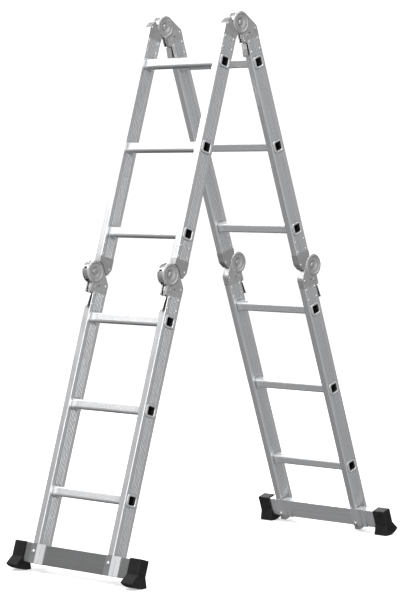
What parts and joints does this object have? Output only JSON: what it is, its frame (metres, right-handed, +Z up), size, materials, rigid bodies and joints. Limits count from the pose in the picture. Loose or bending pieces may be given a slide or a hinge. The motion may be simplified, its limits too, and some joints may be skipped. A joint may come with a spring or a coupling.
{
  "type": "multi position ladder",
  "caption": "Folding aluminium ladder of hinged sections standing as an A-frame, with locking click hinges, wide stabiliser bars and rubber feet.",
  "frame": {"origin": "on the floor at the middle of the ladder's outline", "axes": "+Z up, +X along the rungs, the front half towards -Y"},
  "size_m": [0.562, 1.2442, 1.7235],
  "materials": {
    "stile_aluminium": "satin",
    "rung_aluminium": "satin",
    "hinge_steel": "satin",
    "disc_steel": "satin",
    "pin_steel": "polished",
    "rivet_aluminium": "polished",
    "lever_steel": "satin",
    "spring_steel": "satin",
    "bar_aluminium": "satin",
    "clip_aluminium": "polished",
    "bolt_steel": "polished",
    "foot_rubber": "matte"
  },
  "bodies": {
    "front_upper": {"stile_front_upper_left": "stile_aluminium", "stile_front_upper_right": "stile_aluminium", "rung_front_upper_1": "rung_aluminium", "rung_front_upper_2": "rung_aluminium", "rung_front_upper_3": "rung_aluminium", "hinge_disc_top_left": "disc_steel", "hinge_disc_top_right": "disc_steel", "hinge_disc_front_left": "disc_steel", "hinge_disc_front_right": "disc_steel", "rivets_front_upper": "rivet_aluminium"},
    "back_upper": {"stile_back_upper_left": "stile_aluminium", "stile_back_upper_right": "stile_aluminium", "rung_back_upper_1": "rung_aluminium", "rung_back_upper_2": "rung_aluminium", "rung_back_upper_3": "rung_aluminium", "hinge_fork_top_left": "hinge_steel", "hinge_fork_top_right": "hinge_steel", "hinge_disc_back_left": "disc_steel", "hinge_disc_back_right": "disc_steel", "hinge_pins_top": "pin_steel", "lever_springs_top": "spring_steel", "rivets_back_upper": "rivet_aluminium"},
    "front_lower": {"stile_front_lower_left": "stile_aluminium", "stile_front_lower_right": "stile_aluminium", "rung_front_lower_1": "rung_aluminium", "rung_front_lower_2": "rung_aluminium", "rung_front_lower_3": "rung_aluminium", "hinge_fork_front_left": "hinge_steel", "hinge_fork_front_right": "hinge_steel", "hinge_pins_front": "pin_steel", "lever_springs_front": "spring_steel", "rivets_front_lower": "rivet_aluminium", "stabiliser_bar_front": "bar_aluminium", "saddle_clips_front": "clip_aluminium", "stabiliser_bolts_front": "bolt_steel", "foot_front_left": "foot_rubber", "foot_front_right": "foot_rubber"},
    "back_lower": {"stile_back_lower_left": "stile_aluminium", "stile_back_lower_right": "stile_aluminium", "rung_back_lower_1": "rung_aluminium", "rung_back_lower_2": "rung_aluminium", "rung_back_lower_3": "rung_aluminium", "hinge_fork_back_left": "hinge_steel", "hinge_fork_back_right": "hinge_steel", "hinge_pins_back": "pin_steel", "lever_springs_back": "spring_steel", "rivets_back_lower": "rivet_aluminium", "stabiliser_bar_back": "bar_aluminium", "saddle_clips_back": "clip_aluminium", "stabiliser_bolts_back": "bolt_steel", "foot_back_left": "foot_rubber", "foot_back_right": "foot_rubber"},
    "lever_top_left": {"release_lever_top_left": "lever_steel"},
    "lever_top_right": {"release_lever_top_right": "lever_steel"},
    "lever_front_left": {"release_lever_front_left": "lever_steel"},
    "lever_front_right": {"release_lever_front_right": "lever_steel"},
    "lever_back_left": {"release_lever_back_left": "lever_steel"},
    "lever_back_right": {"release_lever_back_right": "lever_steel"}
  },
  "joints": [
    {"name": "top_hinge", "type": "hinge", "parent": "front_upper", "child": "back_upper", "pos_m": [-0.025, 0.03901, 1.68755], "axis": [1, 0, 0], "range_deg": [-36, 144]},
    {"name": "front_mid_hinge", "type": "hinge", "parent": "front_upper", "child": "front_lower", "pos_m": [-0.025, -0.29985, 0.91557], "axis": [1, 0, 0], "range_deg": [-180, 0]},
    {"name": "back_mid_hinge", "type": "hinge", "parent": "back_upper", "child": "back_lower", "pos_m": [-0.025, 0.35618, 0.90641], "axis": [1, 0, 0], "range_deg": [0, 180]},
    {"name": "lever_press_top_left", "type": "hinge", "parent": "back_upper", "child": "lever_top_left", "pos_m": [-0.1925, 0.06407, 1.64716], "axis": [1, 0, 0], "range_deg": [0, 7], "stiffness_Nm_per_rad": 4, "springref_deg": -4.58},
    {"name": "lever_press_top_right", "type": "hinge", "parent": "back_upper", "child": "lever_top_right", "pos_m": [0.1425, 0.06407, 1.64716], "axis": [1, 0, 0], "range_deg": [0, 7], "stiffness_Nm_per_rad": 4, "springref_deg": -4.58},
    {"name": "lever_press_front_left", "type": "hinge", "parent": "front_lower", "child": "lever_front_left", "pos_m": [-0.1925, -0.30332, 0.86816], "axis": [1, 0, 0], "range_deg": [0, 7], "stiffness_Nm_per_rad": 4, "springref_deg": -4.58},
    {"name": "lever_press_front_right", "type": "hinge", "parent": "front_lower", "child": "lever_front_right", "pos_m": [0.1425, -0.30332, 0.86816], "axis": [1, 0, 0], "range_deg": [0, 7], "stiffness_Nm_per_rad": 4, "springref_deg": -4.58},
    {"name": "lever_press_back_left", "type": "hinge", "parent": "back_lower", "child": "lever_back_left", "pos_m": [-0.1925, 0.35832, 0.85892], "axis": [-1, 0, 0], "range_deg": [0, 7], "stiffness_Nm_per_rad": 4, "springref_deg": -4.58},
    {"name": "lever_press_back_right", "type": "hinge", "parent": "back_lower", "child": "lever_back_right", "pos_m": [0.1425, 0.35832, 0.85892], "axis": [-1, 0, 0], "range_deg": [0, 7], "stiffness_Nm_per_rad": 4, "springref_deg": -4.58}
  ]
}
